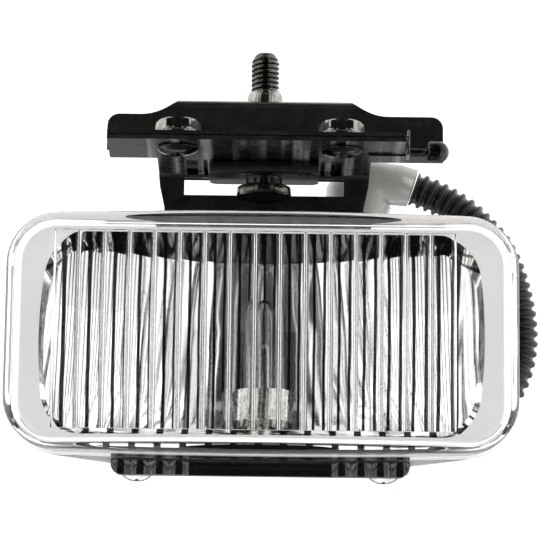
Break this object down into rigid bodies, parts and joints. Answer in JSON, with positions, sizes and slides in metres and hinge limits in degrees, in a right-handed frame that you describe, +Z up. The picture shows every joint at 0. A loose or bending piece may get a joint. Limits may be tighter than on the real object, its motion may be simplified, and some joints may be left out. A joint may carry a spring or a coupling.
{
  "type": "fog light",
  "caption": "Rectangular glass fog light with a fluted lens, tilting on a stud-mounted swivel bracket, with a corrugated wire loom and a plug behind it.",
  "frame": {"origin": "on the stud's axis, on the top face of the bracket's top flange, which goes against the vehicle", "axes": "+Z up along the stud, -Y the way the lamp shines, +X to the right seen from the front"},
  "size_m": [0.149, 0.0778, 0.1267],
  "materials": {
    "black_paint": "satin black",
    "dark_zinc": "dark plated, slightly pitted",
    "bright_zinc": "bright plated",
    "nylon": "natural nylon",
    "gloss_black": "gloss black",
    "light_grey": "light grey, satin",
    "aluminised": "vacuum-metallised",
    "clear_glass": "pressed clear glass",
    "clear_silicone": "translucent, satin",
    "lead_insulation": "wire insulation",
    "loom_plastic": "black, satin"
  },
  "bodies": {
    "stud": {"mounting_stud": "dark_zinc", "stud_retainer": "dark_zinc"},
    "bracket": {"mounting_bracket": "black_paint", "yoke": "black_paint", "clamp_saddle": "black_paint", "backing_plate": "black_paint", "spacer_sleeve": "dark_zinc", "clamp_bolt_left": "dark_zinc", "clamp_bolt_right": "dark_zinc", "flange_nut_left": "bright_zinc", "flange_nut_right": "bright_zinc", "side_clip": "bright_zinc", "side_screw": "dark_zinc", "pivot_bolt": "dark_zinc", "pivot_nut": "dark_zinc", "pivot_washer_left": "nylon", "pivot_washer_right": "nylon"},
    "lamp": {"lamp_cradle": "black_paint", "bottom_bar": "gloss_black", "bottom_screw_left": "bright_zinc", "bottom_screw_right": "bright_zinc", "rear_screw_low_left": "dark_zinc", "rear_screw_low_right": "dark_zinc", "rear_screw_high_left": "dark_zinc", "rear_screw_high_right": "dark_zinc", "housing": "light_grey", "wire_boot": "light_grey", "reflector": "aluminised", "lens": "clear_glass", "lens_seal": "clear_silicone", "bulb_glass": "clear_glass", "bulb_filament": "bright_zinc", "bulb_base": "bright_zinc", "lead_wire_live": "lead_insulation", "lead_wire_ground": "lead_insulation", "loom_tube": "loom_plastic", "connector": "loom_plastic", "connector_clip": "nylon"}
  },
  "joints": [
    {"name": "swivel", "type": "hinge", "parent": "stud", "child": "bracket", "pos_m": [0, 0, 0], "axis": [0, 0, 1], "range_deg": [-15, 15]},
    {"name": "tilt", "type": "hinge", "parent": "bracket", "child": "lamp", "pos_m": [0, 0.021, -0.048], "axis": [1, 0, 0], "range_deg": [-7, 7]}
  ]
}
